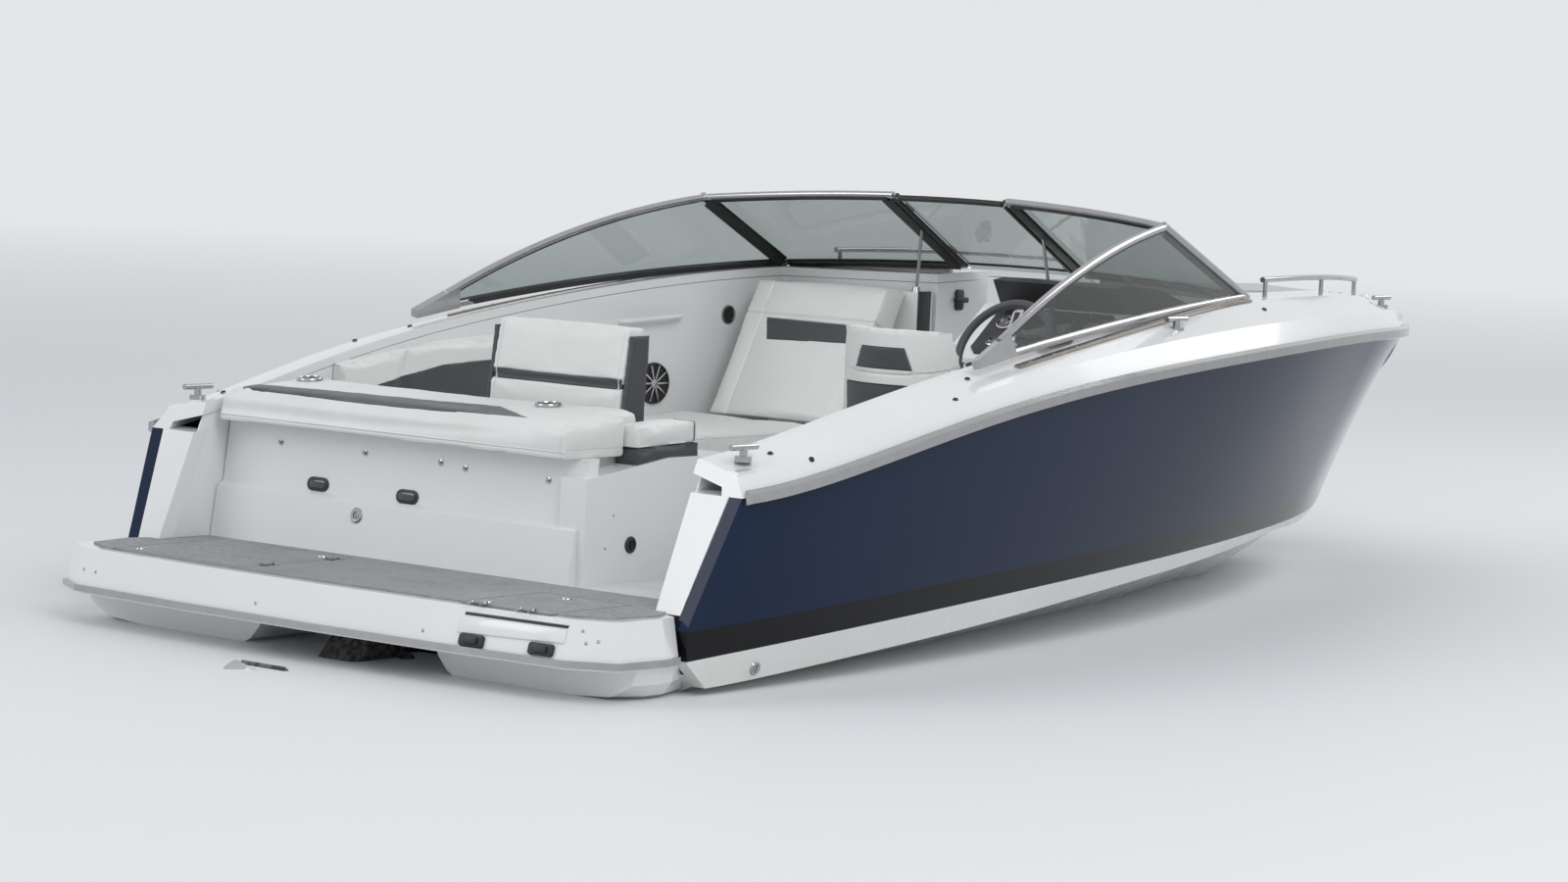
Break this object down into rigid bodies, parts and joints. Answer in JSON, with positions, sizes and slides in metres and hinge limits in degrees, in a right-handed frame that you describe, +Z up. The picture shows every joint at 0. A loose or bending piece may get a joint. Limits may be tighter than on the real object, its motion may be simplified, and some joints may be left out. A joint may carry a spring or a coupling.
{
  "type": "bowrider speedboat",
  "caption": "Open bowrider speedboat afloat: deep-V hull, wraparound framed windshield, transom lounge pad, swim platform and tilting sterndrive.",
  "frame": {"origin": "on the waterline, on the centreline, below the aft edge of the swim platform", "axes": "+X forward to the bow, +Y to port, +Z up; z = 0 is the waterline"},
  "size_m": [6.8516, 2.659, 1.8213],
  "materials": {
    "white_gelcoat": "gloss",
    "navy_gelcoat": "gloss",
    "black_gelcoat": "gloss",
    "stainless": "polished",
    "grey_mat": "matte",
    "white_vinyl": "satin",
    "dark_plastic": "matte",
    "tinted_glass": "clear",
    "drive_paint": "satin",
    "prop_steel": "polished",
    "engine_iron": "matte",
    "pedestal_alu": "satin",
    "light_lens": "gloss"
  },
  "bodies": {
    "hull": {"aft_backrest": "white_vinyl", "aft_bolster": "white_vinyl", "aft_seat_cushion": "white_vinyl", "backrest_arms": "dark_plastic", "boot_stripe": "black_gelcoat", "bow_cushions": "white_vinyl", "bow_rails": "stainless", "box_plinth": "white_vinyl", "cleats": "stainless", "coaming_pads": "white_vinyl", "cockpit_liner": "white_gelcoat", "companion_backrest": "white_vinyl", "dash_visor": "dark_plastic", "deck": "white_gelcoat", "engine_block": "engine_iron", "helm_column": "dark_plastic", "helm_console": "white_gelcoat", "helm_seat_pedestal": "pedestal_alu", "hinge_fittings": "stainless", "hull_bottom": "white_gelcoat", "hull_topsides": "navy_gelcoat", "nav_light": "light_lens", "platform_mat": "grey_mat", "platform_rail": "stainless", "port_console": "white_gelcoat", "port_lounge_cushion": "white_vinyl", "rub_rail": "stainless", "swim_platform": "white_gelcoat", "throttle": "dark_plastic", "transom_pad": "white_vinyl", "transom_shield": "drive_paint", "transom_wall": "white_gelcoat", "transom_wings": "white_gelcoat", "windshield_frame": "stainless", "windshield_glass": "tinted_glass"},
    "platform_hatch": {"platform_hatch": "grey_mat"},
    "swim_step": {"swim_step": "grey_mat"},
    "helm_seat": {"helm_seat": "white_vinyl"},
    "steering_wheel": {"steering_wheel": "dark_plastic"},
    "windshield_door": {"windshield_door": "tinted_glass"},
    "anchor_lid": {"anchor_lid": "white_gelcoat"},
    "drive_gimbal": {"drive_gimbal": "drive_paint"},
    "drive_leg": {"drive_leg": "drive_paint"},
    "propeller_front": {"propeller_front": "prop_steel"},
    "propeller_rear": {"propeller_rear": "prop_steel"}
  },
  "joints": [
    {"name": "platform_hatch_hinge", "type": "hinge", "parent": "hull", "child": "platform_hatch", "pos_m": [0.33, 0.33, 0.246], "axis": [1, 0, 0], "range_deg": [0, 95]},
    {"name": "swim_step_hinge", "type": "hinge", "parent": "hull", "child": "swim_step", "pos_m": [0.064, -0.73, 0.246], "axis": [0, -1, 0], "range_deg": [0, 170]},
    {"name": "helm_seat_slide", "type": "slide", "parent": "hull", "child": "helm_seat", "axis": [1, 0, 0], "range_m": [-0.05, 0.1]},
    {"name": "steering_wheel_turn", "type": "hinge", "parent": "hull", "child": "steering_wheel", "pos_m": [2.52, -0.7, 0.915], "axis": [0.866, 0, -0.5], "range_deg": [-560, 560]},
    {"name": "windshield_door_hinge", "type": "hinge", "parent": "hull", "child": "windshield_door", "pos_m": [3.63957, 0.24925, 1.14726], "axis": [-0.8846, -0.005, 0.4663], "range_deg": [0, 100]},
    {"name": "anchor_lid_hinge", "type": "hinge", "parent": "hull", "child": "anchor_lid", "pos_m": [5.8, 0, 1.028], "axis": [0, 1, 0], "range_deg": [0, 85]},
    {"name": "drive_steer", "type": "hinge", "parent": "hull", "child": "drive_gimbal", "pos_m": [0.43, 0, -0.1], "axis": [0, 0, 1], "range_deg": [-28, 28]},
    {"name": "drive_tilt", "type": "hinge", "parent": "drive_gimbal", "child": "drive_leg", "pos_m": [0.39, 0, -0.06], "axis": [0, 1, 0], "range_deg": [-46, 7]},
    {"name": "propeller_front_spin", "type": "hinge", "parent": "drive_leg", "child": "propeller_front", "pos_m": [-0.245, 0, -0.15151], "axis": [0.7314, 0, -0.682], "continuous": true},
    {"name": "propeller_rear_spin", "type": "hinge", "parent": "drive_leg", "child": "propeller_rear", "pos_m": [-0.30644, 0, -0.09423], "axis": [0.7314, 0, -0.682], "continuous": true}
  ],
  "couplings": [
    {"joint": "propeller_rear_spin", "follows": "propeller_front_spin", "ratio": -1},
    {"joint": "steering_wheel_turn", "follows": "drive_steer", "ratio": 20}
  ]
}
